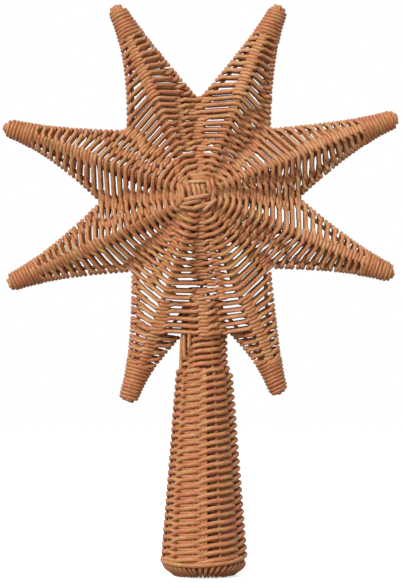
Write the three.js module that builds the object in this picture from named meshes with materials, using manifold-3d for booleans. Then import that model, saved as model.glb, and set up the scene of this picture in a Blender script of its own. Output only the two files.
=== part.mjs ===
import * as THREE from 'three';
import { mergeVertices } from 'three/addons/utils/BufferGeometryUtils.js';
import Module from 'manifold-3d';

// A tree topper woven from round rattan reed: a hollow eight-pointed star on a tapered sleeve.
// Sizes are in millimetres, +Z is up, and the star faces -Y. Its back is woven as its front is.

// Reed and gaps
const reed = 2.4;
const groove = 0.9;
const gap = 0.3;

// Star: a ridge runs from the middle to each tip, and a valley to each notch
const starHeight = 209;
const notchRadius = 57;
const peakHeight = 28;
const ridgeEndHeight = 5.4;
const ridgeEndAlong = 112;
const valleyCurve = 1.2;
const edgeHalf = 2.6;
const tipHalf = 5.6;
const edgeCurve = 1.5;
const ringsToNotch = 16;
const firstRing = 3;
const armWraps = 10;
const ringPitch = notchRadius / ringsToNotch;
const roundRingRadius = 25;
const sweepFrom = 78;
const crossingSteps = 8;

// Inside of the star
const hollowNotchRadius = 48;
const hollowSink = 4;
const hollowTipHalf = 2.2;
const hollowEdgeHalf = 2;
const hollowPeakRing = 4;
const hollowArmSteps = 3;
const hollowReach = 1.06;

// Arms, clockwise from the upper left one: angle from straight up, reach and sideways bow
const arms = [
  { angle: 336.5, reach: 116.7, bow: 0.8 },
  { angle: 22.5, reach: 116.7, bow: -1.1 },
  { angle: 67.5, reach: 119.4, bow: -0.7 },
  { angle: 111.2, reach: 116.1, bow: 0.8 },
  { angle: 157.8, reach: 117.8, bow: -0.7 },
  { angle: 200.0, reach: 119.7, bow: 0 },
  { angle: 245.5, reach: 117.2, bow: 1.2 },
  { angle: 290.5, reach: 117.2, bow: 1.2 },
];

// Bindings at the tips
const bindingTurns = 7;
const bindingGroove = 0.45;
const bindingSides = 8;
const bindingDiamond = 0.82;
const nubLength = 4;
const nubSections = [
  { at: 0.2, scale: 0.74 },
  { at: 0.8, scale: 0.64 },
  { at: 1, scale: 0.4 },
];

// Knot at the middle of each side
const knotReeds = 5;
const knotReedLength = 8;
const knotReedPitch = 2.15;
const knotSides = 5;
const knotShift = { x: -1.6, z: 1 };

// Sleeve: a narrow neck between two arms, then a cone down to the rim
const sleeveShift = 2.1;
const sleeveSides = 14;
const sleeveWall = 2.4 * reed;
const sleeveBottomRadius = 24.1;
const sleeveShoulderRadius = 15.7;
const neckRadius = 13.6;
const neckTopRadius = 12.6;
const shoulderHeight = 114;
const shoulderStep = 1;
const neckTop = 154;
const coneRows = 27;
const neckRows = 11;

// Rim binding
const rimTop = 9.4;
const rimOuter = 23.6;
const rimInner = 16.6;
const rimFlatInner = 18;
const rimFlatOuter = 20.4;
const rimTopRound = 1.6;
const rimSides = 28;

const wasm = await Module();
wasm.setup();

const degrees = Math.PI / 180;
const ridgeStretch = 1 / Math.cos(Math.PI / arms.length);
const armEnd = (ringsToNotch + armWraps) * ringPitch * ridgeStretch;

function smooth(from, to, value) {
  const t = Math.min(1, Math.max(0, (value - from) / (to - from)));
  return t * t * (3 - 2 * t);
}

function addTriangle(corners, a, b, c) {
  corners.push(...a, ...b, ...c);
}

function addQuad(corners, a, b, c, d, turned = false) {
  if (turned) {
    addQuad(corners, d, c, b, a);
    return;
  }
  addTriangle(corners, a, b, c);
  addTriangle(corners, a, c, d);
}

function signedVolume(positions, index) {
  let volume = 0;
  const corner = (i) => new THREE.Vector3().fromArray(positions, 3 * index[i]);
  for (let i = 0; i < index.length; i += 3) {
    volume += corner(i).dot(corner(i + 1).cross(corner(i + 2))) / 6;
  }
  return volume;
}

// A closed solid from a geometry, its shared corners merged and its faces outward
function solidFrom(geometry) {
  const bare = geometry.clone();
  bare.deleteAttribute('normal');
  bare.deleteAttribute('uv');
  const merged = mergeVertices(bare, 1e-3);
  const vertProperties = new Float32Array(merged.attributes.position.array);
  const corners = Array.from(merged.index.array);
  const triVerts = [];
  for (let i = 0; i < corners.length; i += 3) {
    const [a, b, c] = corners.slice(i, i + 3);
    if (a !== b && b !== c && c !== a) {
      triVerts.push(a, b, c);
    }
  }
  if (signedVolume(vertProperties, triVerts) < 0) {
    triVerts.reverse();
  }
  const mesh = new wasm.Mesh({ numProp: 3, vertProperties, triVerts: new Uint32Array(triVerts) });
  return new wasm.Manifold(mesh);
}

function geometryFrom(solid) {
  const mesh = solid.getMesh();
  const geometry = new THREE.BufferGeometry();
  geometry.setAttribute('position', new THREE.BufferAttribute(new Float32Array(mesh.vertProperties), 3));
  geometry.setIndex(new THREE.BufferAttribute(new Uint32Array(mesh.triVerts), 1));
  geometry.computeVertexNormals();
  return geometry;
}

function geometryFromCorners(corners) {
  const geometry = new THREE.BufferGeometry();
  geometry.setAttribute('position', new THREE.BufferAttribute(new Float32Array(corners), 3));
  return geometry;
}

// A point of the star: distance along a direction, distance to its clockwise side, height to the front
function starPoint(angle, along, aside, height) {
  const x = Math.sin(angle) * along + Math.cos(angle) * aside;
  const z = Math.cos(angle) * along - Math.sin(angle) * aside;
  return [x, -height, starHeight + z];
}

function armAngle(k) {
  return arms[(k + arms.length) % arms.length].angle * degrees;
}

// Half the angle from an arm to its neighbour on one side
function halfSpread(k, side) {
  const turn = side * (armAngle(k + side) - armAngle(k));
  return ((turn + 2 * Math.PI) % (2 * Math.PI)) / 2;
}

function bowAt(k, along) {
  const root = notchRadius * Math.cos(Math.PI / arms.length);
  const t = Math.min(1, Math.max(0, (along - root) / (arms[k].reach - root)));
  return arms[k].bow * Math.sin(Math.PI * t);
}

function ridgeHeight(along) {
  return peakHeight + (ridgeEndHeight - peakHeight) * along / ridgeEndAlong;
}

function valleyHeight(radius) {
  return edgeHalf + (peakHeight - edgeHalf) * (1 - (radius / notchRadius) ** valleyCurve);
}

// Where a ring or wrap of a given size crosses the ridges: inner rings are round, outer ones cornered
function ridgeCrossing(size) {
  return size * (1 + (ridgeStretch - 1) * smooth(0, roundRingRadius, size));
}

// Half the arm's width, narrowing from its notch to its blunt tip
function armHalfWidth(k, side, along, form) {
  const rootAlong = form.notch * Math.cos(halfSpread(k, side));
  const rootHalf = form.notch * Math.sin(halfSpread(k, side));
  const t = Math.min(1, Math.max(0, (along - rootAlong) / (ridgeEndAlong - rootAlong)));
  return form.tipHalf + (rootHalf - form.tipHalf) * (1 - t) ** edgeCurve;
}

// Where a wrap crosses the arm's edge: it sweeps back towards the notch, less so near the tip
function edgeCrossing(k, side, ridge, form) {
  const rootAlong = form.notch * Math.cos(halfSpread(k, side));
  const rootHalf = form.notch * Math.sin(halfSpread(k, side));
  const sweep = (ridgeCrossing(form.notch) - rootAlong) * (1 - smooth(sweepFrom, armEnd, ridge));
  let along = ridge;
  for (let i = 0; i < crossingSteps; i += 1) {
    along = ridge - sweep * armHalfWidth(k, side, along, form) / rootHalf;
  }
  return along;
}

function ridgePoint(k, row, form, face) {
  const along = ridgeCrossing(row.size);
  const height = ridgeHeight(along) - form.sink - row.groove;
  return starPoint(armAngle(k), along, bowAt(k, along), face * height);
}

function sidePoint(k, side, row, form, face) {
  if (row.size <= form.notch) {
    const height = valleyHeight(row.size) - form.sink;
    const sunk = Math.min(row.groove, height / 4);
    const angle = armAngle(k) + side * halfSpread(k, side);
    return starPoint(angle, row.size, 0, face * (height - sunk));
  }
  const along = edgeCrossing(k, side, ridgeCrossing(row.size), form);
  const half = armHalfWidth(k, side, along, form) - row.groove / 2;
  return starPoint(armAngle(k), along, side * half + bowAt(k, along), face * form.edgeHalf);
}

// A closed star with its rows given from the middle outward, flat at the middle and at the arm ends
function starSolid(rows, form) {
  const corners = [];
  for (let k = 0; k < arms.length; k += 1) {
    for (const side of [1, -1]) {
      for (const face of [1, -1]) {
        const turned = side * face < 0;
        const ridges = rows.map((row) => ridgePoint(k, row, form, face));
        const sides = rows.map((row) => sidePoint(k, side, row, form, face));
        const middle = starPoint(0, 0, 0, -ridges[0][1]);
        addTriangle(corners, middle, turned ? ridges[0] : sides[0], turned ? sides[0] : ridges[0]);
        for (let i = 0; i + 1 < rows.length; i += 1) {
          addQuad(corners, ridges[i], sides[i], sides[i + 1], ridges[i + 1], turned);
        }
      }
      const outer = rows.filter((row) => row.size >= form.notch);
      const front = outer.map((row) => sidePoint(k, side, row, form, 1));
      const back = outer.map((row) => sidePoint(k, side, row, form, -1));
      for (let i = 0; i + 1 < outer.length; i += 1) {
        addQuad(corners, front[i], back[i], back[i + 1], front[i + 1], side < 0);
      }
    }
    const last = rows[rows.length - 1];
    const rim = [
      sidePoint(k, 1, last, form, 1),
      sidePoint(k, 1, last, form, -1),
      ridgePoint(k, last, form, -1),
      sidePoint(k, -1, last, form, -1),
      sidePoint(k, -1, last, form, 1),
      ridgePoint(k, last, form, 1),
    ];
    for (let i = 1; i + 1 < rim.length; i += 1) {
      addTriangle(corners, rim[0], rim[i], rim[i + 1]);
    }
  }
  return solidFrom(geometryFromCorners(corners));
}

// Rings and wraps: each is a crest between two grooves
function wovenRows() {
  const rows = [];
  for (let i = 2 * firstRing; i <= 2 * (ringsToNotch + armWraps); i += 1) {
    rows.push({ size: i * ringPitch / 2, groove: i % 2 === 0 ? groove : 0 });
  }
  return rows;
}

function hollowRows() {
  const rows = [hollowPeakRing, hollowNotchRadius / 2, hollowNotchRadius];
  const reachSize = hollowReach * armEnd / ridgeStretch;
  for (let i = 1; i <= hollowArmSteps; i += 1) {
    rows.push(hollowNotchRadius + (reachSize - hollowNotchRadius) * i / hollowArmSteps);
  }
  return rows.map((size) => ({ size, groove: 0 }));
}

function makeStarWeave() {
  const outer = { notch: notchRadius, tipHalf, sink: 0, edgeHalf };
  const hollow = {
    notch: hollowNotchRadius,
    tipHalf: hollowTipHalf,
    sink: hollowSink,
    edgeHalf: hollowEdgeHalf,
  };
  const shell = starSolid(wovenRows(), outer).subtract(starSolid(hollowRows(), hollow));
  return geometryFrom(shell.subtract(sleeveEnvelope()));
}

// A blunt bound end: turns of reed round the gathered ends, then the nub of the ends themselves
function makeTipBinding(k) {
  const form = { notch: notchRadius, tipHalf };
  const start = armEnd + gap;
  const nubStart = arms[k].reach - nubLength;
  const rows = [];
  for (let i = 0; i <= 2 * bindingTurns; i += 1) {
    rows.push({
      along: start + (nubStart - start) * i / (2 * bindingTurns),
      scale: 1,
      sunk: i % 2 === 0 ? bindingGroove : 0,
    });
  }
  for (const section of nubSections) {
    rows.push({ along: nubStart + section.at * nubLength, scale: section.scale, sunk: 0 });
  }
  const loops = rows.map((row) => bindingLoop(k, row, form));
  const corners = [];
  for (let i = 0; i + 1 < loops.length; i += 1) {
    for (let j = 0; j < bindingSides; j += 1) {
      const next = (j + 1) % bindingSides;
      addQuad(corners, loops[i][j], loops[i][next], loops[i + 1][next], loops[i + 1][j]);
    }
  }
  for (let j = 1; j + 1 < bindingSides; j += 1) {
    const foot = loops[0];
    const end = loops[loops.length - 1];
    addTriangle(corners, foot[0], foot[j + 1], foot[j]);
    addTriangle(corners, end[0], end[j], end[j + 1]);
  }
  return geometryFrom(solidFrom(geometryFromCorners(corners)));
}

// A section of the tip: close to a diamond where the arm ends, round at the tip
function bindingLoop(k, row, form) {
  const t = smooth(armEnd, arms[k].reach - nubLength, row.along);
  const height = (ridgeHeight(row.along) - row.sunk) * row.scale;
  const loop = [];
  for (let j = 0; j < bindingSides; j += 1) {
    const turn = 2 * Math.PI * j / bindingSides;
    const side = Math.cos(turn) < 0 ? -1 : 1;
    const half = (armHalfWidth(k, side, row.along, form) - row.sunk) * row.scale;
    const diagonal = j % 2 === 1 ? bindingDiamond + (1 - bindingDiamond) * t : 1;
    const aside = half * Math.cos(turn) * diagonal + bowAt(k, row.along);
    loop.push(starPoint(armAngle(k), row.along, aside, -height * Math.sin(turn) * diagonal));
  }
  return loop;
}

// A straight piece of reed, lying along X or Z in front of the star
function knotReed(x, z, length, upright, height) {
  const shape = new THREE.CylinderGeometry(reed / 2, reed / 2, length, knotSides);
  if (upright) {
    shape.rotateX(Math.PI / 2);
  } else {
    shape.rotateZ(Math.PI / 2);
  }
  shape.translate(x, -height, starHeight + z);
  return solidFrom(shape);
}

// Five short upright reeds framed by one reed on each side
function makeKnot(face) {
  const seat = ridgeHeight(ridgeCrossing(firstRing * ringPitch)) - groove;
  const height = seat + gap + reed / 2;
  const half = (knotReeds - 1) / 2 * knotReedPitch;
  const frame = half + knotReedPitch;
  const cross = knotReedLength / 2 + reed / 4;
  let knot = knotReed(0, 0, knotReedLength, true, height);
  for (let i = 0; i < knotReeds; i += 1) {
    knot = knot.add(knotReed(i * knotReedPitch - half, 0, knotReedLength, true, height));
  }
  for (const side of [1, -1]) {
    knot = knot.add(knotReed(0, side * cross, 2 * frame, false, height));
    knot = knot.add(knotReed(side * frame, 0, 2 * cross, true, height));
  }
  const geometry = geometryFrom(knot);
  if (face < 0) {
    geometry.rotateZ(Math.PI);
  }
  geometry.translate(knotShift.x, 0, knotShift.z);
  return geometry;
}

function sleeveRadius(height) {
  if (height > shoulderHeight) {
    const t = (height - shoulderHeight) / (neckTop - shoulderHeight);
    return neckRadius + (neckTopRadius - neckRadius) * t;
  }
  const t = (height - rimTop) / (shoulderHeight - rimTop);
  return sleeveBottomRadius + (sleeveShoulderRadius - sleeveBottomRadius) * t;
}

function lathe(profile, sides) {
  const points = profile.map(([radius, height]) => new THREE.Vector2(radius, height));
  const geometry = new THREE.LatheGeometry(points, sides);
  geometry.rotateX(Math.PI / 2);
  geometry.translate(sleeveShift, 0, 0);
  return geometry;
}

// The sleeve's rows from the bottom up, each a crest between two grooves
function sleeveProfile() {
  const bottom = rimTop + gap;
  const profile = [];
  for (let i = 0; i < 2 * coneRows; i += 1) {
    const height = bottom + (shoulderHeight - bottom) * i / (2 * coneRows);
    profile.push([sleeveRadius(height) - (i % 2 === 0 ? groove : 0), height]);
  }
  for (let i = 0; i <= 2 * neckRows; i += 1) {
    const height = shoulderHeight + (neckTop - shoulderHeight) * i / (2 * neckRows);
    profile.push([sleeveRadius(height + gap) - (i % 2 === 0 ? groove : 0), height]);
  }
  return profile;
}

function makeSleeveWeave() {
  const outside = sleeveProfile();
  const turns = [neckTop, shoulderHeight + reed, shoulderHeight - reed, rimTop + gap];
  const inside = turns.map((height) => [sleeveRadius(height) - sleeveWall, height]);
  return geometryFrom(solidFrom(lathe([...outside, ...inside, outside[0]], sleeveSides)));
}

// The room the sleeve takes in the star, with its gap
function sleeveEnvelope() {
  const top = neckTop + gap;
  const profile = [
    [0, shoulderHeight],
    [sleeveShoulderRadius + gap, shoulderHeight],
    [neckRadius + 2 * gap, shoulderHeight + shoulderStep],
    [neckTopRadius + 2 * gap, top],
    [0, top],
  ];
  return solidFrom(lathe(profile, sleeveSides));
}

function arc(centre, height, radius, from, to, steps) {
  const points = [];
  for (let i = 0; i <= steps; i += 1) {
    const turn = (from + (to - from) * i / steps) * degrees;
    points.push([centre + radius * Math.cos(turn), height + radius * Math.sin(turn)]);
  }
  return points;
}

// The rolled rim: a flat to stand on, a full round outside and tighter corners inside
function makeRimBinding() {
  const outerRound = rimOuter - rimFlatOuter;
  const innerRound = rimFlatInner - rimInner;
  const profile = [
    ...arc(rimFlatOuter, outerRound, outerRound, -90, 0, 3),
    ...arc(rimOuter - rimTopRound, rimTop - rimTopRound, rimTopRound, 0, 90, 1),
    ...arc(rimInner + innerRound, rimTop - innerRound, innerRound, 90, 180, 1),
    ...arc(rimFlatInner, innerRound, innerRound, 180, 270, 1),
  ];
  return geometryFrom(solidFrom(lathe([...profile, profile[0]], rimSides)));
}

function named(name, geometry, colour, roughness = 0.6) {
  const material = new THREE.MeshStandardMaterial({ color: colour, roughness, metalness: 0 });
  const mesh = new THREE.Mesh(geometry, material);
  mesh.name = name;
  return mesh;
}

const topper = new THREE.Group();
topper.add(named('star_weave', makeStarWeave(), 0xb8743c));
topper.add(named('center_knot', makeKnot(1), 0xb9783f));
topper.add(named('back_knot', makeKnot(-1), 0xb9783f));
arms.forEach((arm, k) => {
  topper.add(named(`tip_binding_${k + 1}`, makeTipBinding(k), 0xa9652f, 0.55));
});
topper.add(named('sleeve_weave', makeSleeveWeave(), 0xb06c35));
topper.add(named('rim_binding', makeRimBinding(), 0xb2723a, 0.55));

// The origin is under the middle of the whole piece
const extent = new THREE.Box3().setFromObject(topper);
const centre = extent.getCenter(new THREE.Vector3());
topper.position.set(-centre.x, -centre.y, -extent.min.z);

export default topper;
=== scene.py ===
# A rattan star tree topper: every reed of the star, its bound tips, the sleeve and the rim
import math

import bpy
import numpy as np
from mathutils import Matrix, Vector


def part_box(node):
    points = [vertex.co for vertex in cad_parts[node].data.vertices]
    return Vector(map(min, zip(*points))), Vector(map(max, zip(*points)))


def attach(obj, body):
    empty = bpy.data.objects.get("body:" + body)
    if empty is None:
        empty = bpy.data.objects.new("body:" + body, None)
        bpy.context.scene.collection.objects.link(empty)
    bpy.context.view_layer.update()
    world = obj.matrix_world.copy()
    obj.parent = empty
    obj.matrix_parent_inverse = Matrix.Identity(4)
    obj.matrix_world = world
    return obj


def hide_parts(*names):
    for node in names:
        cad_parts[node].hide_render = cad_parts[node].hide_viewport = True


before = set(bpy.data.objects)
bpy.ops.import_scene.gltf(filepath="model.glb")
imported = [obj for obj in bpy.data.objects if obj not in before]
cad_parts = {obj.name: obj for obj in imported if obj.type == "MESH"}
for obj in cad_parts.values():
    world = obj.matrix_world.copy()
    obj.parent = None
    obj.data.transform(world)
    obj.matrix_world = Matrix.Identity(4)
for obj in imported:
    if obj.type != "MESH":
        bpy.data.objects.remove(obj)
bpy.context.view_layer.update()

mm = 0.001               # lengths are in millimetres until a piece is made
fullTurn = 2 * math.pi
chance = np.random.default_rng(11)


# Camera, at the height of the sleeve's shoulder and looking slightly up

print("camera")
view = {"eye": (1.0, -1000.0, 102.4), "target": (1.0, 0.0, 157.1), "lens": 111.1}


def aimed(thing, place, target):
    thing.location = np.array(place) * mm
    towards = thing.location.copy()
    towards.xyz = (np.array(target) - np.array(place)) * mm
    thing.rotation_euler = towards.to_track_quat("-Z", "Y").to_euler()
    return thing


bpy.ops.object.camera_add()
camera = aimed(bpy.context.object, view["eye"], view["target"])
camera.data.lens = view["lens"]
bpy.context.scene.camera = camera


# Form of the star, in the frame's own places

star = {
    "knotShift": (-1.6, 0, 1.0),    # from the star's middle to its knot
    "sleeveShift": 0.3,             # of the sleeve and the rim to the right
    "notchRadius": 57.0,
    "notchRings": 16,               # rings from the middle to the notches
    "armWraps": 10,                 # wraps round each arm past the notches
    "peakHeight": 28.0,
    "ridgeEndHeight": 5.4,
    "ridgeEndAlong": 112.0,
    "valleyCurve": 1.2,
    "edgeHalf": 2.6,
    "tipHalf": 5.6,
    "edgeCurve": 1.5,
    "roundRings": (8.0, 50.0),      # round up to 8, and fully drawn out at the ridges from 50 on
    "sweep": (58.0, 94.0),          # over this length of an arm, the wraps turn square to it
    "sweepNeck": (76.0, 108.0),     # and on the sides towards the sleeve's neck
    # a side is given by its arm and by 1 for the clockwise side or -1 for the other one
    "neckSides": {(4, 1): 2.6, (5, -1): 4.6},    # how much wider these are at their roots
    "widerEnd": 108.0,
    # how far a side bulges out halfway along
    "fuller": {(0, 1): 1.6, (1, -1): 0.7, (1, 1): 1.3, (2, -1): 1.1, (2, 1): 1.1, (3, -1): 1.3,
               (4, -1): 1.4, (5, -1): 1.4, (5, 1): 0.8, (6, -1): 1.0, (7, -1): 0.5},
    "edgeTurnFrom": 0.84,           # share of a facet's way where it turns round the edge
    "edgeRounds": 8,                # rounds that find where a row meets it
    # arms clockwise from the upper left: angle from straight up, reach and sideways bow
    "arms": [(336.3, 118.7, 0.8), (22.7, 117.7, -1.1), (67.7, 120.2, -0.7), (111.5, 116.6, 0.6),
             (157.8, 117.8, -0.7), (199.6, 120.3, 0.2), (245.9, 117.2, 0.2), (290.3, 117.2, 1.2)],
}


def middleOf(node):
    low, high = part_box(node)
    return np.array((low + high) / 2) / mm


starMiddle = (middleOf("center_knot") - star["knotShift"]) * (1, 0, 1)
sleeveMiddle = middleOf("sleeve_weave")[0] + star["sleeveShift"]
armAngles, armReaches, armBows = np.array(star["arms"]).T
armAngles = np.radians(armAngles)
armCount = len(armAngles)
spreadAfter = (np.roll(armAngles, -1) - armAngles) % fullTurn / 2
spreadBefore = np.roll(spreadAfter, 1)
ridgeStretch = 1 / math.cos(math.pi / armCount)
ringPitch = star["notchRadius"] / star["notchRings"]
armEnd = (star["notchRings"] + star["armWraps"]) * ringPitch * ridgeStretch


def smooth(low, high, value):
    t = np.clip((value - low) / (high - low), 0, 1)
    return t * t * (3 - 2 * t)


def between(first, second, share):
    return first + (second - first) * share


def starPoint(angle, along, aside, height):
    x = np.sin(angle) * along + np.cos(angle) * aside
    z = np.cos(angle) * along - np.sin(angle) * aside
    return starMiddle + np.stack([x, -height + 0 * x, z], -1)


def midway(arm, along):
    # from 0 at an arm's root to 1 halfway along and 0 at its end
    root = star["notchRadius"] / ridgeStretch
    return np.sin(math.pi * np.clip((along - root) / (armReaches[arm] - root), 0, 1))


def bowAt(arm, along):
    return armBows[arm] * midway(arm, along)


def ridgeHeight(along):
    drop = star["ridgeEndHeight"] - star["peakHeight"]
    return star["peakHeight"] + drop * along / star["ridgeEndAlong"]


def valleyHeight(radius):
    share = np.clip(radius / star["notchRadius"], 0, 1) ** star["valleyCurve"]
    return between(star["edgeHalf"], star["peakHeight"], 1 - share)


def ridgeCrossing(size):
    return size * (1 + (ridgeStretch - 1) * smooth(*star["roundRings"], size))


def rootAt(arm, side):
    # where a side of an arm begins: how far along and aside
    spread = spreadAfter[arm] if side > 0 else spreadBefore[arm]
    return star["notchRadius"] * np.cos(spread), star["notchRadius"] * np.sin(spread)


def armHalfWidth(arm, side, along):
    rootAlong, rootHalf = rootAt(arm, side)
    t = np.clip((along - rootAlong) / (star["ridgeEndAlong"] - rootAlong), 0, 1)
    return between(star["tipHalf"], rootHalf, (1 - t) ** star["edgeCurve"])


def bulge(arm, side, along):
    return star["fuller"].get((arm, side), 0.0) * midway(arm, along)


def sideFullness(arm, side, along):
    # the two lowest arms are wider towards the sleeve's neck, and most sides bulge a little
    wider = star["neckSides"].get((arm, side), 0.0)
    wider = wider * (1 - smooth(star["notchRadius"], star["widerEnd"], along))
    return wider + bulge(arm, side, along)


def edgeCrossing(arm, side, ridge):
    rootAlong, rootHalf = rootAt(arm, side)
    turning = "sweepNeck" if (arm, side) in star["neckSides"] else "sweep"
    sweep = ridgeCrossing(star["notchRadius"]) - rootAlong
    sweep = sweep * (1 - smooth(*star[turning], ridge))
    along = ridge
    for _ in range(star["edgeRounds"]):
        along = ridge - sweep * armHalfWidth(arm, side, along) / rootHalf
    return along


def ridgePoint(arm, size, face):
    along = ridgeCrossing(size)
    return starPoint(armAngles[arm], along, bowAt(arm, along), face * ridgeHeight(along))


def edgePoint(arm, side, size, height):
    along = edgeCrossing(arm, side, ridgeCrossing(size))
    half = armHalfWidth(arm, side, along) + sideFullness(arm, side, along)
    return starPoint(armAngles[arm], along, side * half + bowAt(arm, along), height)


# Form of the sleeve

sleeve = {
    "bottomRadius": 24.5,
    "shoulderRadius": 16.0,
    "neckRadius": 13.6,
    "neckTopRadius": 12.6,
    "rimTop": 9.4,
    "shoulderHeight": 114.0,
    "neckTop": 154.0,
    "coneRows": 27,
    "neckPitch": 3.64,
    "shoulderSoft": 2.0,
}


def sleeveRadius(height):
    shoulder = sleeve["shoulderHeight"]
    cone = (height - sleeve["rimTop"]) / (shoulder - sleeve["rimTop"])
    coneRadius = between(sleeve["bottomRadius"], sleeve["shoulderRadius"], cone)
    neck = (height - shoulder) / (sleeve["neckTop"] - shoulder)
    neckRadius = between(sleeve["neckRadius"], sleeve["neckTopRadius"], neck)
    soft = sleeve["shoulderSoft"]
    return between(coneRadius, neckRadius, smooth(shoulder - soft, shoulder + soft, height))


def roundSleeve(turned, radius, height):
    # turned from the sleeve's front towards its right side
    return np.stack([sleeveMiddle + radius * np.sin(turned), -radius * np.cos(turned), height], -1)


# Reed: a list of strands becomes one curve with a round section, and then a mesh

reeds = {
    "radius": 1.12,
    "spacing": 1.35,       # between the points of a strand
    "sides": 8,
    "mergeWithin": 0.001,  # closes the cut ends
    "smoothBelow": 60,     # degrees between two faces
    "cutEnds": [(0.25, 0.7), (0.1, 0.0)],    # added to a cut end: reach and share of the radius
    "grainApart": 1000,    # strands start this far apart in the grain at most
    "spanPoints": 48,      # of a row, from stake to stake
    "softening": 5,        # passes that round a row's bends off
    "turnPoints": 22,      # of a wrap round the rim or a tip
    "crossHeight": 1.75,   # how far a weaver passes in front of and behind the stakes
    "crossWidth": 0.95,    # how far two weavers pass beside each other where they cross
    "crossRamp": 2.4,      # over this length a weaver comes out from behind the other
    "crossShare": 0.44,    # a crossing's most reach, as a share of the way to the next one
    "rearShows": 0.52,     # how far the rear weaver shows beside the front one
    "closedDrop": 1.25,    # how much further it shows in a closed row
    "besideDrop": 1.3,     # and beside a ridge, where it is raised too
    "besideLift": 1.7,
    "stakeLift": 1.5,      # both weavers lie outside where they cross over a stake
    "asideLimits": (0.8, 1.4),    # where they do, how far they pass beside each other
    "edgeClear": (2.0, 5.0),
    "rowWander": 0.22,     # unevenness of hand weaving
    "crossWander": 0.11,
    "closedSwell": 0.14,
    "thickWander": 0.05,
    "thickWaves": 3,
    "stakeRadius": 1.0,
    "stakeDepth": 4.4,     # of a stake's middle under the weave's crest
    # painted shade: the stakes and inner rings get a low tone so they look shaded deep in the weave
    "stakePaintedShadeTone": 0.2,
    "stakeSpacing": 2.5,
}


def unit(vectors):
    return vectors / np.linalg.norm(vectors, axis=-1, keepdims=True)


def wander(turns, size, waves=5):
    # a smooth closed wobble, for turns from 0 to 1
    total = 0 * turns
    for wave in range(1, waves + 1):
        total = total + chance.normal() * np.sin(fullTurn * (wave * turns + chance.random())) / wave ** 0.5
    return size * total / waves ** 0.5


def newStrand(points, radius, closed=False, tone=None):
    points = np.asarray(points, float)
    radii = radius + np.zeros(len(points))
    if not closed:
        for reach, share in reeds["cutEnds"]:
            outward = unit(points[[0, -1]] - points[[1, -2]]) * reach
            points = np.concatenate([points[:1] + outward[:1], points, points[-1:] + outward[1:]])
            radii = np.concatenate([radii[:1] * share, radii, radii[-1:] * share])
    steps = np.linalg.norm(np.diff(points, axis=0), axis=1)
    along = np.concatenate([[0], np.cumsum(steps)])
    if closed:
        along = np.minimum(along, along[-1] - along)   # the grain mirrors where a closed row meets itself
    return {
        "points": points,
        "radii": radii,
        "closed": closed,
        "along": along + reeds["grainApart"] * chance.random(),
        "tone": chance.random() if tone is None else tone,
    }


def makePiece(name, strands, material, replaced):
    print("piece", name, len(strands), "strands")
    sides = reeds["sides"]
    bpy.ops.curve.primitive_nurbs_path_add()
    piece = bpy.context.object
    piece.name = piece.data.name = name
    curve = piece.data
    curve.splines.clear()
    curve.dimensions = "3D"
    curve.twist_mode = "MINIMUM"
    curve.bevel_depth = mm
    curve.bevel_resolution = (sides - 4) // 2
    for strand in strands:
        spline = curve.splines.new("POLY")
        count = len(strand["points"])
        spline.points.add(count - 1)
        places = np.ones((count, 4))
        places[:, :3] = strand["points"] * mm
        spline.points.foreach_set("co", places.ravel())
        spline.points.foreach_set("radius", strand["radii"])
        spline.use_cyclic_u = strand["closed"]
    bpy.ops.object.convert(target="MESH")
    piece = bpy.context.object
    mesh = piece.data
    turns = fullTurn * np.arange(sides) / sides
    grain = []
    tones = []
    for strand in strands:
        radii = strand["radii"][:, None]
        section = np.cos(turns) * radii, np.sin(turns) * radii, strand["along"][:, None] + 0 * turns
        grain.append(np.stack(section, -1).reshape(-1, 3))
        tones.append(np.full(len(strand["radii"]) * sides, strand["tone"]))
    attribute = mesh.attributes.new("reedGrain", "FLOAT_VECTOR", "POINT")
    attribute.data.foreach_set("vector", np.concatenate(grain).ravel())
    attribute = mesh.attributes.new("reedTone", "FLOAT", "POINT")
    attribute.data.foreach_set("value", np.concatenate(tones))
    bpy.ops.object.mode_set(mode="EDIT")
    bpy.ops.mesh.select_all(action="SELECT")
    bpy.ops.mesh.remove_doubles(threshold=reeds["mergeWithin"] * mm)
    bpy.ops.object.mode_set(mode="OBJECT")
    bpy.ops.object.shade_smooth_by_angle(angle=math.radians(reeds["smoothBelow"]))
    mesh.materials.append(material)
    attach(piece, "root")
    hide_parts(*replaced)


# Materials: attributes carry the reed's grain and each strand's own tone; the stakes' fixed low tone is
# painted shade

class Wire:
    # an output socket; arithmetic on it adds Math nodes
    def __init__(self, tree, socket):
        self.tree = tree
        self.socket = socket

    def maths(self, operation, first, second):
        return self.tree.add("ShaderNodeMath", {"operation": operation}, {0: first, 1: second})

    def __add__(self, other):
        return self.maths("ADD", self, other)

    __radd__ = __add__

    def __sub__(self, other):
        return self.maths("SUBTRACT", self, other)

    def __mul__(self, other):
        return self.maths("MULTIPLY", self, other)


class Nodes:
    def __init__(self, owner):
        owner.use_nodes = True
        self.tree = owner.node_tree
        self.tree.nodes.clear()

    def add(self, kind, settings, values, output=0):
        node = self.tree.nodes.new(kind)
        for key, value in settings.items():
            if key == "stops":
                self.setStops(node.color_ramp, value)
            else:
                setattr(node, key, value)
        for key, value in values.items():
            if isinstance(value, Wire):
                self.tree.links.new(value.socket, node.inputs[key])
            else:
                node.inputs[key].default_value = value
        return Wire(self, node.outputs[output]) if node.outputs else None

    def setStops(self, ramp, stops):
        while len(ramp.elements) < len(stops):
            ramp.elements.new(0.5)
        for element, (place, colour) in zip(ramp.elements, stops):
            element.position = place
            element.color = (*colour, 1)

    def mixed(self, factor, first, second):
        return self.add("ShaderNodeMix", {"data_type": "RGBA"}, {0: factor, 6: first, 7: second}, output=2)


def fromScreen(red, green, blue):
    # an sRGB colour in linear light
    return tuple(((level / 255 + 0.055) / 1.055) ** 2.4 for level in (red, green, blue))


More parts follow.
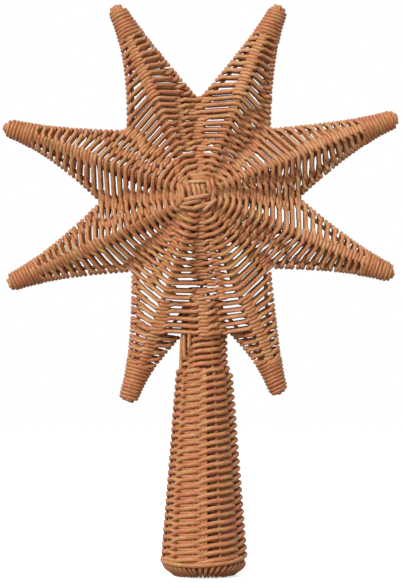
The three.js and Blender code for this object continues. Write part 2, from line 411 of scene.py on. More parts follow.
reedLooks = {
    "pale": fromScreen(206, 164, 124),
    "honey": fromScreen(192, 136, 91),
    "orange": fromScreen(183, 112, 67),
    "brown": fromScreen(152, 93, 62),
    "streak": fromScreen(124, 70, 43),
    "olive": fromScreen(176, 144, 84),
    "rose": fromScreen(182, 111, 88),
    # noises in the grain: scale across and along the reed, and detail
    "noises": {"drift": ((0.16, 0.16, 0.09), 2.0), "hue": ((0.45, 0.45, 0.2), 1.0),
               "fibre": ((1.5, 1.5, 0.13), 2.0), "fine": ((3.4, 3.4, 0.42), 2.0)},
    "noiseRoughness": 0.55,
    "shade": {"tone": 0.24, "drift": 0.9, "fibre": 0.7, "less": 0.42, "unvaried": 0.57},
    "stops": [(0.10, "brown"), (0.38, "orange"), (0.60, "honey"), (0.95, "pale")],
    # a colour, its noise, the noise's values where it begins and is full, and its most share
    "tints": [("olive", "hue", 0.52, 0.68, 0.6), ("rose", "hue", 0.47, 0.32, 0.4),
              ("streak", "fine", 0.5, 0.68, 0.9)],
    "bump": {"strength": 0.5, "depth": 0.4, "fibre": 0.6, "fine": 0.4},
    "roughness": 0.43,
    "fibreRoughness": 0.16,
    "specular": 0.4,
}


def reedMaterial(name, looks, darker=0.0, varied=1.0):
    material = bpy.data.materials.new(name)
    nodes = Nodes(material)
    grain = nodes.add("ShaderNodeAttribute", {"attribute_name": "reedGrain"}, {}, output="Vector")
    tone = nodes.add("ShaderNodeAttribute", {"attribute_name": "reedTone"}, {}, output="Fac")
    noises = {}
    for kind, (scale, detail) in looks["noises"].items():
        stretched = nodes.add("ShaderNodeVectorMath", {"operation": "MULTIPLY"}, {0: grain, 1: scale})
        noises[kind] = nodes.add("ShaderNodeTexNoise", {"noise_dimensions": "3D"}, {
            "Vector": stretched, "Scale": 1.0, "Detail": detail, "Roughness": looks["noiseRoughness"]})
    fibre = noises["fibre"]
    part = looks["shade"]
    shade = (tone * part["tone"] + noises["drift"] * part["drift"]) * varied + fibre * part["fibre"]
    shade = shade - part["less"] + (1 - varied) * part["unvaried"] - darker
    stops = [(place, looks[colour]) for place, colour in looks["stops"]]
    base = nodes.add("ShaderNodeValToRGB", {"stops": stops}, {"Fac": shade})
    for colour, kind, low, high, most in looks["tints"]:
        share = nodes.add("ShaderNodeMapRange", {}, {
            "Value": noises[kind], "From Min": low, "From Max": high, "To Max": most})
        base = nodes.mixed(share, base, (*looks[colour], 1))
    bump = looks["bump"]
    height = fibre * bump["fibre"] + noises["fine"] * bump["fine"]
    normal = nodes.add("ShaderNodeBump", {}, {
        "Strength": bump["strength"], "Distance": bump["depth"] * mm, "Height": height})
    shader = nodes.add("ShaderNodeBsdfPrincipled", {}, {
        "Base Color": base, "Roughness": looks["roughness"] + fibre * looks["fibreRoughness"],
        "Normal": normal, "Specular IOR Level": looks["specular"]})
    nodes.add("ShaderNodeOutputMaterial", {}, {"Surface": shader})
    return material


wovenReed = reedMaterial("wovenReed", reedLooks)
boundReed = reedMaterial("boundReed", reedLooks, darker=0.15, varied=0.6)


# Weaving: two weavers go round the stakes, and cross between them

def leanAt(places):
    # how far a thing a millimetre deeper is seen to move, in the plane of the star
    return (places - np.array(view["eye"])) / -view["eye"][1] * np.array([1, 0, 1])


def besideLine(along):
    # square to a line, in the plane of the star
    return np.stack([along[..., 2], 0 * along[..., 1], -along[..., 0]], -1)


def linedUp(surface):
    # moves the back's rows, so that its slits are seen behind those of the front
    def moved(turn, size):
        place = surface(turn, size)
        aside, step = weave["turnStep"], weave["sizeStep"]
        sideways = besideLine(surface(turn + aside, size) - surface(turn - aside, size))
        outward = (surface(turn, size + step) - place) / step
        share = np.sum(leanAt(place) * sideways, -1) / (np.sum(outward * sideways, -1) + 1e-9)
        share = np.clip(share, -weave["lineUpMost"], weave["lineUpMost"])
        fade = smooth(*weave["lineUpOver"], size)
        return surface(turn, size + 2 * np.maximum(place[:, 1], 0) * share * fade)
    return moved


def rowDrift(stakes):
    points = reeds["spanPoints"] * stakes
    return wander(np.arange(points) / points, reeds["rowWander"])


def mirrored(drift, stakes):
    # the same unevenness behind as in front
    points = reeds["spanPoints"]
    behind = (points * (2 * stakes - 2) - np.arange(points * stakes)) % (points * stakes)
    return (drift + drift[behind]) / math.sqrt(2)


def softened(points):
    for _ in range(reeds["softening"]):
        points = (np.roll(points, 1, 0) + 2 * points + np.roll(points, -1, 0)) / 4
        points = (np.roll(points, 3, 0) + 2 * points + np.roll(points, -3, 0)) / 4
    return points


def weaveRow(surface, stakes, size, crossings, drift, closed, swell=0.0):
    # surface(turn, size) gives the row's crest, with stakes at whole turns; a crossing is its turn, its
    # reach before and after it and its kind: there the weavers lie side by side and change places, and
    # elsewhere one hides the other, unless the row is closed, all round or on each span by itself
    turn = np.arange(reeds["spanPoints"] * stakes) / reeds["spanPoints"]
    step = weave["sizeStep"]
    crest = softened(surface(turn, size + drift))
    above = softened(surface(turn, size + drift + step))
    steps = np.linalg.norm(np.roll(crest, -1, 0) - crest, axis=1)
    length = np.concatenate([[0], np.cumsum(steps)])
    whole = length[-1]
    count = max(int(whole / reeds["spacing"]), 4 * stakes)
    places = np.linspace(0, whole, count, endpoint=False)
    around = np.append(turn, stakes)

    def resampled(values):
        looped = np.concatenate([values, values[:1]])
        return np.stack([np.interp(places, length, looped[:, axis]) for axis in range(3)], -1)

    apart = resampled(above - crest)
    evenly = np.linalg.norm(apart, axis=-1) / step * ringPitch / 4     # a quarter of the rows' pitch
    evenly = np.clip(evenly, *reeds["asideLimits"])
    crest = resampled(crest)
    across = unit(apart)
    turnAt = np.interp(places, length, around)
    closed = np.broadcast_to(closed, stakes)[np.floor(turnAt).astype(int)]
    tangent = unit(np.roll(crest, -1, 0) - np.roll(crest, 1, 0))
    normal = unit(np.cross(tangent, across))
    crossings = sorted(crossings)
    middles = np.interp([crossing[0] for crossing in crossings], around, length)
    gaps = (np.roll(middles, -1) - middles) % whole
    crossed, lifted, beside, atEdge = np.zeros((4, count))
    for i, (_, before, after, kind) in enumerate(crossings):
        low = -min(before, reeds["crossShare"] * gaps[i - 1])
        high = min(after, reeds["crossShare"] * gaps[i])
        middle = middles[i]
        if kind == "open":
            middle = middle + reeds["crossWander"] * gaps[i] * chance.normal()
        ramp = reeds["crossRamp"] / 2
        for lap in (-whole, 0, whole):
            near = places - middle + lap
            entered = smooth(low - ramp, low + ramp, near)
            left = smooth(high - ramp, high + ramp, near)
            if kind == "beside":
                beside = beside + entered * (1 - left)
            else:
                crossed = crossed + (entered + left) / 2
            if kind in ("stake", "edge"):
                lifted = lifted + entered * (1 - left)
            if kind == "edge":
                atEdge = atEdge + 1 - smooth(*reeds["edgeClear"], np.abs(near))
    seen = besideLine(tangent)
    lean = leanAt(crest)
    slope = np.sum((normal - lean * normal[:, 1:2]) * seen, -1)
    slope = slope / (np.sum((across - lean * across[:, 1:2]) * seen, -1) + 1e-9)
    slope = np.clip(slope, -1, 1) * (1 - np.clip(atEdge, 0, 1))
    strands = []
    depth = reeds["crossHeight"] + reeds["radius"]
    lift = reeds["stakeLift"] * np.clip(lifted, 0, 1)
    for weaver in (0, 1):
        phase = math.pi * (crossed + weaver)
        behind = (1 - np.cos(phase)) / 2
        raised = lift + reeds["besideLift"] * beside * behind
        out = reeds["crossHeight"] * np.cos(phase) + raised - depth
        width = between(reeds["crossWidth"], evenly, np.clip(lifted, 0, 1))
        aside = width * np.sin(phase) + (2 * reeds["crossHeight"] * behind - raised) * slope
        shows = np.maximum(reeds["closedDrop"] * closed, reeds["besideDrop"] * beside)
        aside = aside - behind * (1 - np.clip(lifted, 0, 1)) * (reeds["rearShows"] + shows)
        points = crest + normal * out[:, None] + across * aside[:, None]
        thickness = 1 + wander(turnAt / stakes, reeds["thickWander"], reeds["thickWaves"])
        thickness = thickness + reeds["closedSwell"] * swell
        strands.append(newStrand(points, reeds["radius"] * thickness, closed=True))
    return strands


print("star")
weave = {
    "firstRing": 1,
    "stakesFrom": 3.0,       # from the star's middle
    "narrowRings": 7,        # rings woven round the ridge stakes alone
    "innerRings": [3.6, 6.0, 8.4, 10.8, 13.2, 15.6],     # inside, behind the knots
    "innerHeight": 17.5,
    "innerReed": 1.3,
    "innerPoints": 60,
    "armStakes": 4,
    "joinedStakes": 8,       # round the two lowest arms together
    "open": (2.3, 2.3),      # how far the weave is closed before and after each kind of crossing
    "ridge": (6.4, 1.8),
    "valley": (2.9, 2.5),
    "neck": (3.3, 3.3),
    "edge": (4.2, 4.2),
    "onArm": (1.8, 1.8),
    "onArmAt": 0.62,         # on a wrap's facet, from the ridge
    "lastCrossed": 20,       # from this row on, the wraps cross at the ridges and edges alone
    "lastJoined": 21,        # before this row, the two lowest arms are wrapped together, across the neck
    "closedWithin": (15.0, 27.0),    # rings closed up to 15 mm from the middle, and open from 27 on
    "closedWraps": (18.0, 23.5),     # rows open up to the 18th, and closed from the 24th on
    # and on the facets that are closed sooner, each given by its arm and side
    "closedSooner": {
        (0, 1): (4.0, 27.0), (2, -1): (4.0, 27.0), (3, 1): (14.5, 19.0), (4, -1): (8.0, 19.0),
        (4, 1): (16.0, 20.0), (5, -1): (13.0, 20.0), (5, 1): (16.5, 22.0), (6, -1): (6.0, 22.0),
        (6, 1): (14.5, 18.5), (7, -1): (15.0, 18.5)},
    "closedMost": 0.85,
    "lineUpMost": 0.35,      # of the way between front and back
    "lineUpOver": (12.0, 30.0),
    "turnStep": 0.03,        # steps that tell which way a surface runs
    "sizeStep": 0.5,
    "neckArm": 4,            # the arm before the sleeve's notch
    "neckProud": 2.3,
    "neckLiftOver": (47.0, 59.5),
    "neckSag": 3.0,
    "neckSagOver": (47.0, 75.0),
    "neckStops": [(0.5, 50), (0.78, 25), (1, 0)],    # share of a row's way, and degrees round the neck
    "stakeTuck": 6.0,        # of an arm's side stakes, in past the notches
    "leastDepth": 1.0,
}


def neckCrest(size):
    return sleeveRadius(starMiddle[2] - size) + weave["neckProud"]


def neckSag(size):
    return weave["neckSag"] * smooth(*weave["neckSagOver"], size)


def valleyCrest(size, atNeck):
    # raised where the sleeve's neck comes in
    lift = smooth(*weave["neckLiftOver"], size) * atNeck
    return between(valleyHeight(size), neckCrest(size), lift)


def faceSurface(face):
    # front for face 1, back for -1; turns run clockwise as each one's viewer sees it
    def surface(turn, size):
        turn = (face * turn) % (2 * armCount)
        span = np.floor(turn).astype(int)
        share = (turn - span)[:, None]
        arm = span // 2 % armCount
        after = (arm + 1) % armCount
        atNeck = arm == weave["neckArm"]
        reach = size + neckSag(size) * atNeck
        valley = starPoint(armAngles[arm] + spreadAfter[arm], reach, 0, face * valleyCrest(size, atNeck))
        falling = ridgePoint(arm, size, face) * (1 - share) + valley * share
        rising = valley * (1 - share) + ridgePoint(after, size, face) * share
        return np.where((span % 2 == 0)[:, None], falling, rising)
    return surface


def narrowSurface(face):
    wide = faceSurface(face)
    return lambda turn, size: wide(2 * turn, size)


def alongPath(stops, share):
    # on the straight path through the stops, each given as (share, points)
    result = 0 * stops[0][1]
    for (low, first), (high, second) in zip(stops[:-1], stops[1:]):
        t = np.clip((share - low) / (high - low), 0, 1)[:, None]
        inside = ((share >= low) & (share <= high))[:, None]
        result = np.where(inside, first * (1 - t) + second * t, result)
    return result


def facetPath(arm, side, size, face, share):
    # from the ridge, share 0, over the facet and half round the edge, share 1
    corner = edgePoint(arm, side, size, face * star["edgeHalf"])
    stops = [(0, ridgePoint(arm, size, face)), (star["edgeTurnFrom"], corner),
             (1, edgePoint(arm, side, size, 0))]
    return alongPath(stops, share)


def armSurface(arm):
    # stakes: front ridge, clockwise edge, back ridge, other edge
    def surface(turn, size):
        turn = turn % weave["armStakes"]
        span = np.floor(turn).astype(int)
        share = turn - span
        parts = [facetPath(arm, 1, size, 1, share), facetPath(arm, 1, size, -1, 1 - share),
                 facetPath(arm, -1, size, -1, share), facetPath(arm, -1, size, 1, 1 - share)]
        return np.choose(span[:, None], parts)
    return surface


def joinedSurface():
    # stakes: right arm's ridge, neck, left arm's ridge and outer edge, then the same behind
    right = weave["neckArm"]
    left = right + 1

    def neckPoint(size, face, turned):
        # on the crest round the neck, turned from its middle towards the right arm
        across, forward = math.sin(math.radians(turned)), math.cos(math.radians(turned))
        radius = neckCrest(size)
        height = starMiddle[2] - size - neckSag(size) * forward
        return np.stack([sleeveMiddle + radius * across, -face * radius * forward, height], -1)

    def toNeck(arm, size, face, share):
        # from the arm's ridge, share 0, to the middle of the neck, share 1
        way = 1 if arm == right else -1
        stops = [(at, neckPoint(size, face, turned * way)) for at, turned in weave["neckStops"]]
        return alongPath([(0, ridgePoint(arm, size, face)), *stops], share)

    def surface(turn, size):
        turn = turn % weave["joinedStakes"]
        span = np.floor(turn).astype(int)
        share = turn - span
        parts = [toNeck(right, size, 1, share), toNeck(left, size, 1, 1 - share),
                 facetPath(left, 1, size, 1, share), facetPath(left, 1, size, -1, 1 - share),
                 toNeck(left, size, -1, share), toNeck(right, size, -1, 1 - share),
                 facetPath(right, -1, size, -1, share), facetPath(right, -1, size, 1, 1 - share)]
        return np.choose(span[:, None], parts)
    return surface


def turnedOver(crossings, stakes, mirror):
    # the same crossings, as they lie behind those of the front
    return [((mirror - turn) % stakes, after, before, kind) for turn, before, after, kind in crossings]


def bothSides(front, stakes):
    middle = stakes - 2      # the sum of two turns that lie one behind the other
    return front + turnedOver([crossing for crossing in front if crossing[-1] != "edge"], stakes, middle)


def facetClosed(arm, side, ring):
    span = weave["closedSooner"].get((arm, side), weave["closedWraps"])
    return weave["closedMost"] * smooth(*span, ring)


def starFaces():
    strands = []
    crossings = []
    middles = []
    for arm in range(armCount):
        valley = weave["neck" if arm == weave["neckArm"] else "valley"]
        crossings += [(2 * arm, *weave["ridge"], "beside"), (2 * arm + 0.5, *weave["open"], "open"),
                      (2 * arm + 1, *valley, "open")]
        middles += [(arm, *weave["ridge"], "beside"), (arm + 0.5, *weave["open"], "open")]
    for ring in range(weave["firstRing"], star["notchRings"]):
        size = (ring + 0.5) * ringPitch
        narrow = ring < weave["narrowRings"]
        stakes = armCount if narrow else 2 * armCount
        here = middles if narrow else crossings
        drift = rowDrift(stakes)
        closed = swell = 1 - smooth(*weave["closedWithin"], size)
        if not narrow:
            facets = [facet for arm in range(armCount) for facet in ((arm, 1), ((arm + 1) % armCount, -1))]
            closed = [max(swell, facetClosed(*facet, ring)) for facet in facets]
        for face in (1, -1):
            surface = linedUp(narrowSurface(face) if narrow else faceSurface(face))
            if face < 0:
                here = turnedOver(here, stakes, stakes)
                drift = np.roll(drift[::-1], 1)
                closed = closed if narrow else closed[::-1]
            strands += weaveRow(surface, stakes, size, here, drift, closed, swell)
    return strands


def armWraps():
    strands = []
    ridge, edge, neck, onArm = (weave[kind] for kind in ("ridge", "edge", "neck", "onArm"))
    at = weave["onArmAt"]
    armStakes, pairStakes = weave["armStakes"], weave["joinedStakes"]
    last = bothSides([(0, *ridge, "stake"), (1, *edge, "edge"), (3, *edge, "edge")], armStakes)
    alone = last + bothSides([(at, *onArm, "open")], armStakes)
    shared = bothSides([(0, *ridge, "stake"), (at, *onArm, "open"), (1, *neck, "stake"),
                        (2, *ridge, "stake"), (2 + at, *onArm, "open"), (3, *edge, "edge"),
                        (7, *edge, "edge")], pairStakes)
    lowPair = (weave["neckArm"], weave["neckArm"] + 1)
    for ring in range(star["notchRings"], star["notchRings"] + star["armWraps"]):
        size = (ring + 0.5) * ringPitch
        joined = ring < weave["lastJoined"]
        for arm in range(armCount):
            if not (joined and arm in lowPair):
                after, before = (facetClosed(arm, side, ring) for side in (1, -1))
                closed = [after, after, before, before]
                drift = mirrored(rowDrift(armStakes), armStakes)
                crossings = alone if ring < weave["lastCrossed"] else last
                strands += weaveRow(linedUp(armSurface(arm)), armStakes, size, crossings, drift, closed)
        if joined:
            drift = mirrored(rowDrift(pairStakes), pairStakes)
            right, left = facetClosed(lowPair[0], -1, ring), facetClosed(lowPair[1], 1, ring)
            middle = weave["closedMost"] * smooth(*weave["closedWraps"], ring)
            closed = [middle, middle, left, left, middle, middle, right, right]
            strands += weaveRow(linedUp(joinedSurface()), pairStakes, size, shared, drift, closed)
    return strands


def stakeLine(points):
    # stakes take the low tone that paints shade on them
    return newStrand(points, reeds["stakeRadius"], tone=reeds["stakePaintedShadeTone"])


def starStakes():
    strands = []
    around = fullTurn * np.arange(weave["innerPoints"]) / weave["innerPoints"]
    for radius in weave["innerRings"]:
        points = starPoint(around, radius, 0, weave["innerHeight"] + 0 * around)
        strands.append(newStrand(points, weave["innerReed"], True, reeds["stakePaintedShadeTone"]))
    deep, least = reeds["stakeDepth"], weave["leastDepth"]
    step = reeds["stakeSpacing"]
    for arm in range(armCount):
        angle = armAngles[arm]
        along = np.arange(weave["stakesFrom"], armEnd, step)
        radius = np.arange(weave["narrowRings"] * ringPitch, star["notchRadius"] - least, step)
        valley = valleyCrest(radius, arm == weave["neckArm"])
        for face in (1, -1):
            height = face * (ridgeHeight(along) - deep)
            strands.append(stakeLine(starPoint(angle, along, bowAt(arm, along), height)))
            height = face * np.maximum(valley - deep, least)
            strands.append(stakeLine(starPoint(angle + spreadAfter[arm], radius, 0, height)))
        for side in (1, -1):
            along = np.arange(rootAt(arm, side)[0] - weave["stakeTuck"], armEnd, step)
            aside = side * (armHalfWidth(arm, side, along) - deep) + bowAt(arm, along)
            strands.append(stakeLine(starPoint(angle, along, aside, 0 * along)))
    return strands


makePiece("woven_star_faces", starFaces() + starStakes(), wovenReed, ["star_weave"])
makePiece("woven_star_arms", armWraps(), wovenReed, ["star_weave"])


print("sleeve")
winding = {
    # degrees from the front towards the right side, where the weavers cross
    "crossings": [-52.0, -9.0, 57.0, 103.0, 148.0, 193.0, 237.0, 272.0],
    "coneOnly": (-9.0, 193.0),      # not on the neck
    "startAngle": 165.0,
    "startHeight": 8.7,
    "crossShare": 0.48,     # half a crossing, as a share of a span
    "crossWidth": 1.15,
    "radius": 1.29,
    "rowWander": (0.2, 40),         # how much, and in how many waves
    "thickWaves": 40,
    "pairShown": (-64.0, -12.0),    # between these angles the rear weaver shows under the front one
    "shownSoft": 8.0,
    "shownLift": 2.2,
    "shownDrop": 0.5,
    "behindDrop": 1.7,      # the rear weaver lies lower, so that no light comes through
    "topHeight": 149.0,
    "stakeTop": 151.0,
    "frontStakes": [-48.0, -21.5, -16.5, -1.5, 3.0],     # more of them, up to the shoulder
    "tuck": 3.0,
    "tuckTurn": 0.12,
    "meanRadius": 17.0,
    "shoulderRise": 1.0,
}


def sleeveRows():
    shoulder = sleeve["shoulderHeight"]
    coneTurns = sleeve["coneRows"]
    lastTurn = coneTurns + (winding["topHeight"] - shoulder) / sleeve["neckPitch"]
    turns = np.arange(0, lastTurn, reeds["spacing"] / (fullTurn * winding["meanRadius"]))
    heights = winding["startHeight"], shoulder + winding["shoulderRise"], winding["topHeight"]
    height = np.interp(turns, [0, coneTurns, lastTurn], heights)
    angle = winding["startAngle"] + 360 * turns
    columns = []
    for lap in range(-1, int(turns[-1]) + 3):
        for column in winding["crossings"]:
            onNeck = np.interp(column + 360 * lap, angle, height) > shoulder
            if not (onNeck and column in winding["coneOnly"]):
                columns.append(column + 360 * lap)
    span = np.interp(angle, columns, np.arange(len(columns)))     # whole numbers at crossings
    nearest = np.round(span)
    passed = smooth(-winding["crossShare"], winding["crossShare"], span - nearest)
    height = height + wander(turns / turns[-1], *winding["rowWander"])
    strands = []
    rise = np.arctan2(sleeve["bottomRadius"] - sleeve["shoulderRadius"], shoulder)
    depth = reeds["crossHeight"] + winding["radius"]
    ends = np.minimum(turns, turns[-1] - turns)
    tuck = winding["tuck"] * (1 - smooth(0, winding["tuckTurn"], ends))
    facing = (angle + 180) % 360 - 180
    low, high = winding["pairShown"]
    soft = winding["shownSoft"]
    shown = smooth(low - soft, low + soft, facing) * (1 - smooth(high - soft, high + soft, facing))
    shown = shown * (height < shoulder)
    for weaver in (0, 1):
        phase = math.pi * (nearest - 1 + passed + weaver)
        behind = (1 - np.cos(phase)) / 2
        out = reeds["crossHeight"] * np.cos(phase) - depth - tuck
        out = out + winding["shownLift"] * shown * behind
        drop = winding["behindDrop"] + winding["shownDrop"] * shown
        beside = winding["crossWidth"] * np.sin(phase) - drop * behind
        radius = sleeveRadius(height) + out - beside * math.sin(rise)
        points = roundSleeve(np.radians(angle), radius, height + beside + out * math.sin(rise))
        uneven = wander(turns / turns[-1], reeds["thickWander"], winding["thickWaves"])
        strands.append(newStrand(points, winding["radius"] * (1 + uneven)))
    return strands


def sleeveStakes():
    columns = np.array(winding["crossings"])
    middles = np.radians((columns + np.append(columns[1:], columns[0] + 360)) / 2)
    strands = []
    deep = reeds["crossHeight"] + reeds["radius"]
    columns = [(angle, winding["stakeTop"]) for angle in middles]
    columns += [(angle, sleeve["shoulderHeight"]) for angle in np.radians(winding["frontStakes"])]
    for angle, top in columns:
        z = np.arange(sleeve["rimTop"] - winding["tuck"], top, reeds["stakeSpacing"])
        radius = sleeveRadius(np.maximum(z, sleeve["rimTop"])) - deep
        strands.append(stakeLine(roundSleeve(angle, radius, z)))
    return strands


# upright reeds outside the neck's weave, on its left
neckReed = {
    "reeds": [(-67.0, 3.0, 112.0), (-52.0, -3.0, 118.5), (-38.0, 2.0, 124.0)],    # angle, lean and low end
    "top": 135.0,
    "points": 12,
    "radius": 1.05,
    "proud": 0.4,
    "dips": (3.2, 2.0),      # the low and the top end go into the weave this far,
    "dipShare": 0.15,        # over this share of the length
}

# the slack strand that lies on the rim
slack = {
    "turned": (-100, 75),
    "points": 60,
    "radius": 1.25,
    "height": 9.6,
    "sag": 1.9,
    "sagStretch": 1.1,
    "sagPower": 1.5,
    "endRise": 1.4,
    "endRiseFrom": 0.75,
    "proud": -1.1,
    "dip": 3.0,
    "dipTo": 0.12,
    "dipFrom": 0.9,
}


def onSleeve(turned, height, proud):
    # outside the sleeve's weave, turned in degrees
    return roundSleeve(np.radians(turned), sleeveRadius(height) + proud, height + 0 * turned)


def neckReeds():
    strands = []
    top, ends = neckReed["top"], neckReed["dipShare"]
    for turned, leaning, low in neckReed["reeds"]:
        height = np.linspace(low, top, neckReed["points"])
        share = (height - low) / (top - low)
        dips = neckReed["dips"]
        proud = neckReed["proud"] - dips[0] * (1 - smooth(0, ends, share))
        proud = proud - dips[1] * smooth(1 - ends, 1, share)
        strands.append(newStrand(onSleeve(turned + leaning * share, height, proud), neckReed["radius"]))
    return strands


def slackStrand():
    turned = np.linspace(*slack["turned"], slack["points"])
    share = np.linspace(0, 1, slack["points"])
    sag = np.sin(math.pi * np.clip(share * slack["sagStretch"], 0, 1)) ** slack["sagPower"]
    height = slack["height"] - slack["sag"] * sag
    height = height + slack["endRise"] * smooth(slack["endRiseFrom"], 1, share)
    proud = slack["proud"] - slack["dip"] * (1 - smooth(0, slack["dipTo"], share))
    proud = proud - slack["dip"] * smooth(slack["dipFrom"], 1, share)
    return [newStrand(onSleeve(turned, height, proud), slack["radius"])]


sleeveStrands = sleeveRows() + sleeveStakes() + neckReeds() + slackStrand()
makePiece("woven_sleeve", sleeveStrands, wovenReed, ["sleeve_weave"])


print("rim")
rim = {
    "wraps": 70,
    "outer": 23.2,
    "inner": 16.6,
    "top": 9.0,
    "reedOutside": 1.06,
    "reedInside": 0.8,
    "squareness": 1.35,
    "angleWander": (0.012, 30),     # how much, and in how many waves
    "loose": (-20.0, 55.0),         # the wraps lean and part between these turns from the front
    "looseSoft": (8.0, 20.0),
    "looseWander": (0.045, 60),
    "parted": 0.85,                 # by stretching the wraps there
    "lean": 0.1,
    "leanFrom": 12.0,
    "leanOver": 30.0,
    "uneven": 0.9,
    "unevenWander": (1.6, 45),
    "drawnIn": 4.2,                 # the outer side slopes in towards the bottom
    "drawnFrom": 0.35,
    "drawnInside": 0.35,            # and the inner side by this share of it
    "core": [(6.7, 19.7, 1.1), (4.9, 19.0, 0.8)],    # the reeds inside: height, and radius of ring and reed
    "corePoints": 90,
}


def roundedLoop(turn, power):
    # half size 1; a diamond for power 1, a circle for 2 and squarer above it
    across, up = np.cos(turn), np.sin(turn)
    size = (np.abs(across) ** power + np.abs(up) ** power) ** (-1 / power)
    return across * size, up * size


def rimStrands():
    wraps = rim["wraps"]
    turns = np.arange(0, wraps, 1 / reeds["turnPoints"])
    share = turns / wraps
    across, up = roundedLoop(fullTurn * turns, rim["squareness"])
    angle = math.pi + fullTurn * turns / wraps + wander(share, *rim["angleWander"])
    facing = np.degrees((angle + math.pi) % fullTurn - math.pi)
    low, high = rim["loose"]
    softLow, softHigh = rim["looseSoft"]
    loose = smooth(low - softLow, low + softLow, facing)
    loose = loose * (1 - smooth(high - softHigh, high + softHigh, facing))
    parted = smooth(low - softLow, high + softLow, facing) - (facing + 180) / 360
    angle = angle + rim["parted"] * parted
    leaning = np.clip((facing - rim["leanFrom"]) / rim["leanOver"], -1, 1)
    angle = angle + loose * (rim["lean"] * leaning * up + wander(share, *rim["looseWander"]))
    outside = (across + 1) / 2
    reed = between(rim["reedInside"], rim["reedOutside"], outside)
    middle = (rim["outer"] + rim["inner"]) / 2
    halfAcross = (rim["outer"] - rim["inner"]) / 2 - rim["reedOutside"]
    halfUp = rim["top"] / 2 - rim["reedOutside"]
    drawn = rim["drawnIn"] * (up - rim["drawnFrom"])
    radius = middle + across * halfAcross + drawn * between(rim["drawnInside"], 1, outside)
    raised = rim["uneven"] * loose * np.clip(wander(share, *rim["unevenWander"]), 0, 1)
    return [newStrand(roundSleeve(angle, radius, rim["top"] / 2 + up * (halfUp - raised)), reed)]


def rimCore():
    angle = fullTurn * np.arange(rim["corePoints"]) / rim["corePoints"]
    return [newStrand(roundSleeve(angle, radius, height + 0 * angle), reed, closed=True)
            for height, radius, reed in rim["core"]]


makePiece("wrapped_rim", rimStrands() + rimCore(), boundReed, ["rim_binding"])


print("tips")
tip = {
    "firstAlong": 98.5,
    "pitch": 1.95,
    "pitchWander": (0.12, 9),
    "reed": 1.05,
    "reedWander": (0.05, 12),
    "roundFrom": 4.5,        # the binding narrows over this length before the end
    "endShare": [0.84, 0.84, 0.72, 0.66, 0.82, 0.86, 0.68, 0.6],    # to this share of its width
    "diamond": 1.6,
    "endReeds": 11,          # in a binding that keeps its whole width
    "endReed": 1.1,
    "endDepth": 6.0,         # how far back they begin, inside the arm
    "endPoints": 8,
    "endUneven": 0.9,
    "endLower": 0.5,         # those round the middle one
    "endTurned": 0.3,        # out of their even places round it
    "endProud": [2.3, 1.6, 1.3, 1.0, 0.7, 0.5, 0.6, 1.2],    # how far they stand out of each binding
}


def tipSection(arm, along, turn):
    # centre line of the binding at a place along the arm
    last = armReaches[arm] - tip["endProud"][arm]
    roundFrom = last - tip["roundFrom"]
    narrow = 1 - (1 - tip["endShare"][arm]) * smooth(roundFrom, last + 1, along)
    power = between(tip["diamond"], 2, smooth(armEnd, roundFrom, along))
    across, up = roundedLoop(turn, power)
    halves = [armHalfWidth(arm, side, along) + bulge(arm, side, along) for side in (1, -1)]
    half = np.where(across > 0, *halves)
    aside = across * (half * narrow - tip["reed"]) + bowAt(arm, along)
    return starPoint(armAngles[arm], along, aside, up * (ridgeHeight(along) * narrow - tip["reed"]))


def tipStrands(arm):
    last = armReaches[arm] - tip["endProud"][arm]
    rounds = (last - tip["reed"] - tip["firstAlong"]) / tip["pitch"]
    turns = np.arange(0, rounds, 1 / reeds["turnPoints"])
    along = tip["pitch"] * (turns + wander(turns / rounds, *tip["pitchWander"]))
    along = tip["firstAlong"] + along
    reed = tip["reed"] * (1 + wander(turns / rounds, *tip["reedWander"]))
    strands = [newStrand(tipSection(arm, along, -fullTurn * turns), reed)]
    around = int(tip["endReeds"] * tip["endShare"][arm])
    for i in range(around + 1):       # the first one stands in the middle
        angle = fullTurn * (i + tip["endTurned"] * chance.random()) / around
        end = armReaches[arm] - tip["endUneven"] * chance.random()
        spread = 0.0
        if i > 0:
            spread = star["tipHalf"] * tip["endShare"][arm] - 2 * tip["endReed"]
            end = end - tip["endLower"]
        along = np.linspace(armEnd - tip["endDepth"], end, tip["endPoints"])
        aside = spread * math.sin(angle) + bowAt(arm, along)
        points = starPoint(armAngles[arm], along, aside, spread * math.cos(angle))
        strands.append(newStrand(points, tip["endReed"]))
    return strands


for arm in range(armCount):
    makePiece(f"bound_tip_{arm + 1}", tipStrands(arm), boundReed, [f"tip_binding_{arm + 1}"])


print("knots")
knot = {
    "radius": 1.2,
    "proud": 0.8,
    "loose": 0.16,
    "uneven": (0.92, 1.14),
    "dip": 1.3,              # the ends dip under their neighbours
    "dome": 0.008,
    "points": 9,
    # each reed: start and end, across and up from the knot's middle, and height over the rest
    "reeds": [(-4.8, 3.6, -3.4, -3.4, 0.0), (-2.2, 4.0, -0.5, -3.4, 0.15), (0.3, 4.2, 2.0, -3.0, 0.0),
              (2.8, 4.2, 4.4, -2.2, 0.1), (-7.7, 3.4, -7.0, -4.6, 0.2), (-9.9, 4.0, -8.6, -6.6, -0.7),
              (-3.8, 5.2, 5.2, 5.6, 0.5), (-1.8, 7.3, 7.2, 7.1, 0.1), (-3.6, 9.1, 4.4, 9.3, -0.7),
              (5.8, 6.6, 7.6, -1.8, 0.6), (7.8, 7.2, 9.8, -1.6, 0.1), (8.6, 4.4, 8.4, -5.0, -0.5),
              (-6.4, -4.6, 6.6, -1.9, 1.0), (-7.6, -6.8, 2.4, -4.2, 0.3), (-8.2, -8.2, -1.0, -9.6, -0.8),
              (-2.6, -9.6, 8.0, -6.4, -0.2), (3.8, -10.2, 10.2, -4.4, 0.1)],
}


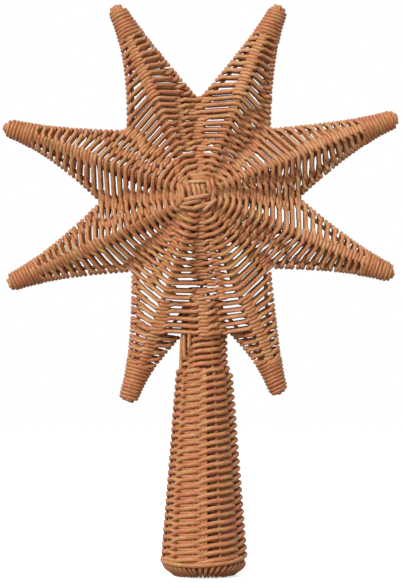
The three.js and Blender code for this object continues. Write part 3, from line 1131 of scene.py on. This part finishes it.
def knotStrands(face):
    middle = middleOf("center_knot" if face > 0 else "back_knot")
    strands = []
    for startAcross, startUp, endAcross, endUp, above in knot["reeds"]:
        share = np.linspace(0, 1, knot["points"])
        x = between(startAcross, endAcross, share) + knot["loose"] * chance.normal()
        z = between(startUp, endUp, share) + knot["loose"] * chance.normal()
        dip = knot["dip"] * (1 - np.sin(math.pi * share) ** 0.5)
        height = knot["proud"] + above - dip - knot["dome"] * (x * x + z * z)
        points = np.stack([middle[0] + x * face, middle[1] - face * height, middle[2] + z], -1)
        strands.append(newStrand(points, knot["radius"] * chance.uniform(*knot["uneven"])))
    return strands


makePiece("front_knot_reeds", knotStrands(1), wovenReed, ["center_knot"])
makePiece("back_knot_reeds", knotStrands(-1), wovenReed, ["back_knot"])


# Studio: white paper and surroundings, a soft key light from the upper left

print("studio")
studio = {
    "floor": 8.0,
    "paper": 0.93,
    "paperUnseen": 0.3,      # what the paper throws back at the reeds
    "paperGlow": 0.6,
    "paperRoughness": 0.9,
    "surroundings": 0.86,
    "key": {"from": (-720, -1200, 760), "strength": 2.8, "softness": 24},
}


bpy.ops.mesh.primitive_plane_add(size=studio["floor"])
floor = bpy.context.object
floor.name = "floor"
paper = bpy.data.materials.new("paper")
paperNodes = Nodes(paper)
seen = paperNodes.add("ShaderNodeLightPath", {}, {}, output="Is Camera Ray")
paperShader = paperNodes.add("ShaderNodeBsdfPrincipled", {}, {
    "Base Color": paperNodes.mixed(seen, (*[studio["paperUnseen"]] * 3, 1), (*[studio["paper"]] * 3, 1)),
    "Emission Color": (1, 1, 1, 1), "Emission Strength": seen * studio["paperGlow"],
    "Roughness": studio["paperRoughness"]})
paperNodes.add("ShaderNodeOutputMaterial", {}, {"Surface": paperShader})
floor.data.materials.append(paper)

bpy.ops.object.light_add(type="SUN")
keyLight = aimed(bpy.context.object, studio["key"]["from"], (0, 0, 0))
keyLight.name = "keyLight"
keyLight.data.energy = studio["key"]["strength"]
keyLight.data.angle = math.radians(studio["key"]["softness"])

world = bpy.data.worlds.new("studioWorld")
bpy.context.scene.world = world
worldNodes = Nodes(world)
seen = worldNodes.add("ShaderNodeLightPath", {}, {}, output="Is Camera Ray")
strength = seen * (1.0 - studio["surroundings"]) + studio["surroundings"]
worldShader = worldNodes.add("ShaderNodeBackground", {}, {"Color": (1, 1, 1, 1), "Strength": strength})
worldNodes.add("ShaderNodeOutputWorld", {}, {"Surface": worldShader})
bpy.context.scene.view_settings.view_transform = "Standard"
